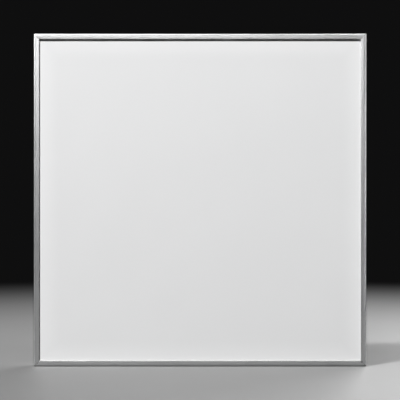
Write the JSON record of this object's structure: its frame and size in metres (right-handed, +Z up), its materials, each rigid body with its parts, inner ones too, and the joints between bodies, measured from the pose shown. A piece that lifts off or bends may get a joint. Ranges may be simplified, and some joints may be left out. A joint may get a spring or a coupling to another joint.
{
  "type": "light table",
  "caption": "Square edge-lit light table with a slim mitred aluminium frame, an opal diffuser, a side rocker switch, a dimmer wheel, a mains inlet and a screwed rear cover with rubber feet.",
  "frame": {"origin": "underside of the bottom rail, mid-width, half way between the front plane and the rear feet", "axes": "+Z up, the lit face looks along -Y, +X to the right as seen from the front"},
  "size_m": [0.6016, 0.04, 0.6],
  "materials": {
    "anodised_aluminium": "satin",
    "die_cast_zinc": "matte",
    "opal_acrylic": "matte",
    "diffusing_film": "satin",
    "clear_acrylic": "polished",
    "white_reflector": "matte",
    "foam": "matte",
    "mill_aluminium": "satin",
    "thermal_tape": "matte",
    "white_circuit_board": "satin",
    "led_package": "satin",
    "black_plastic": "matte",
    "gloss_black_plastic": "gloss",
    "nickel_plated_brass": "polished",
    "zinc_plated_steel": "satin",
    "galvanised_steel": "satin",
    "green_circuit_board": "satin",
    "component_black": "matte",
    "component_aluminium": "satin",
    "ferrite": "matte",
    "fuse_glass": "polished",
    "white_nylon": "satin",
    "brown_insulation": "satin",
    "blue_insulation": "satin",
    "red_insulation": "satin",
    "black_insulation": "satin",
    "white_insulation": "satin",
    "powder_coated_steel": "matte",
    "black_rubber": "matte"
  },
  "bodies": {
    "housing": {"frame_rail_bottom": "anodised_aluminium", "frame_rail_left": "anodised_aluminium", "frame_rail_top": "anodised_aluminium", "frame_rail_right": "anodised_aluminium", "corner_key_bottom_left": "die_cast_zinc", "corner_key_bottom_right": "die_cast_zinc", "corner_key_top_left": "die_cast_zinc", "corner_key_top_right": "die_cast_zinc", "corner_key_screws": "zinc_plated_steel", "opal_diffuser": "opal_acrylic", "diffusing_film": "diffusing_film", "light_guide": "clear_acrylic", "reflector_sheet": "white_reflector", "foam_pad": "foam", "back_plate": "mill_aluminium", "thermal_tapes": "thermal_tape", "led_strip_bottom": "white_circuit_board", "leds_bottom": "led_package", "led_strip_left": "white_circuit_board", "leds_left": "led_package", "led_strip_top": "white_circuit_board", "leds_top": "led_package", "led_strip_right": "white_circuit_board", "leds_right": "led_package", "strip_jumpers": "white_insulation", "control_panel": "black_plastic", "control_panel_screws": "zinc_plated_steel", "inlet_housing": "black_plastic", "inlet_pins": "nickel_plated_brass", "switch_housing": "black_plastic", "switch_terminals": "nickel_plated_brass", "dimmer_potentiometer": "component_aluminium", "dimmer_board": "green_circuit_board", "dimmer_board_posts": "white_nylon", "dimmer_components": "component_black", "dimmer_connectors": "white_nylon", "driver_base": "galvanised_steel", "driver_lid": "galvanised_steel", "driver_board": "green_circuit_board", "driver_transformer": "ferrite", "driver_capacitors": "component_black", "driver_choke": "ferrite", "driver_fuse": "fuse_glass", "driver_terminals": "component_black", "electronics_screws": "zinc_plated_steel", "wire_live_to_switch": "brown_insulation", "wire_live_to_driver": "brown_insulation", "wire_neutral": "blue_insulation", "wire_low_voltage_negative": "black_insulation", "wire_low_voltage_positive": "red_insulation", "wire_led_feed": "white_insulation", "wire_clips": "white_nylon", "back_cover": "powder_coated_steel", "cover_screws": "zinc_plated_steel", "rubber_feet": "black_rubber", "foot_screws": "zinc_plated_steel", "foot_nuts": "zinc_plated_steel"},
    "rocker": {"switch_rocker": "gloss_black_plastic"},
    "dimmer": {"dimmer_wheel": "black_plastic", "dimmer_wheel_screw": "zinc_plated_steel"}
  },
  "joints": [
    {"name": "rocker_tilt", "type": "hinge", "parent": "housing", "child": "rocker", "pos_m": [0.2954, 0.0045, 0.115], "axis": [0, -1, 0], "range_deg": [0, 20]},
    {"name": "dimmer_turn", "type": "hinge", "parent": "housing", "child": "dimmer", "pos_m": [0.291, 0.0045, 0.16], "axis": [0, -1, 0], "range_deg": [0, 270]}
  ]
}
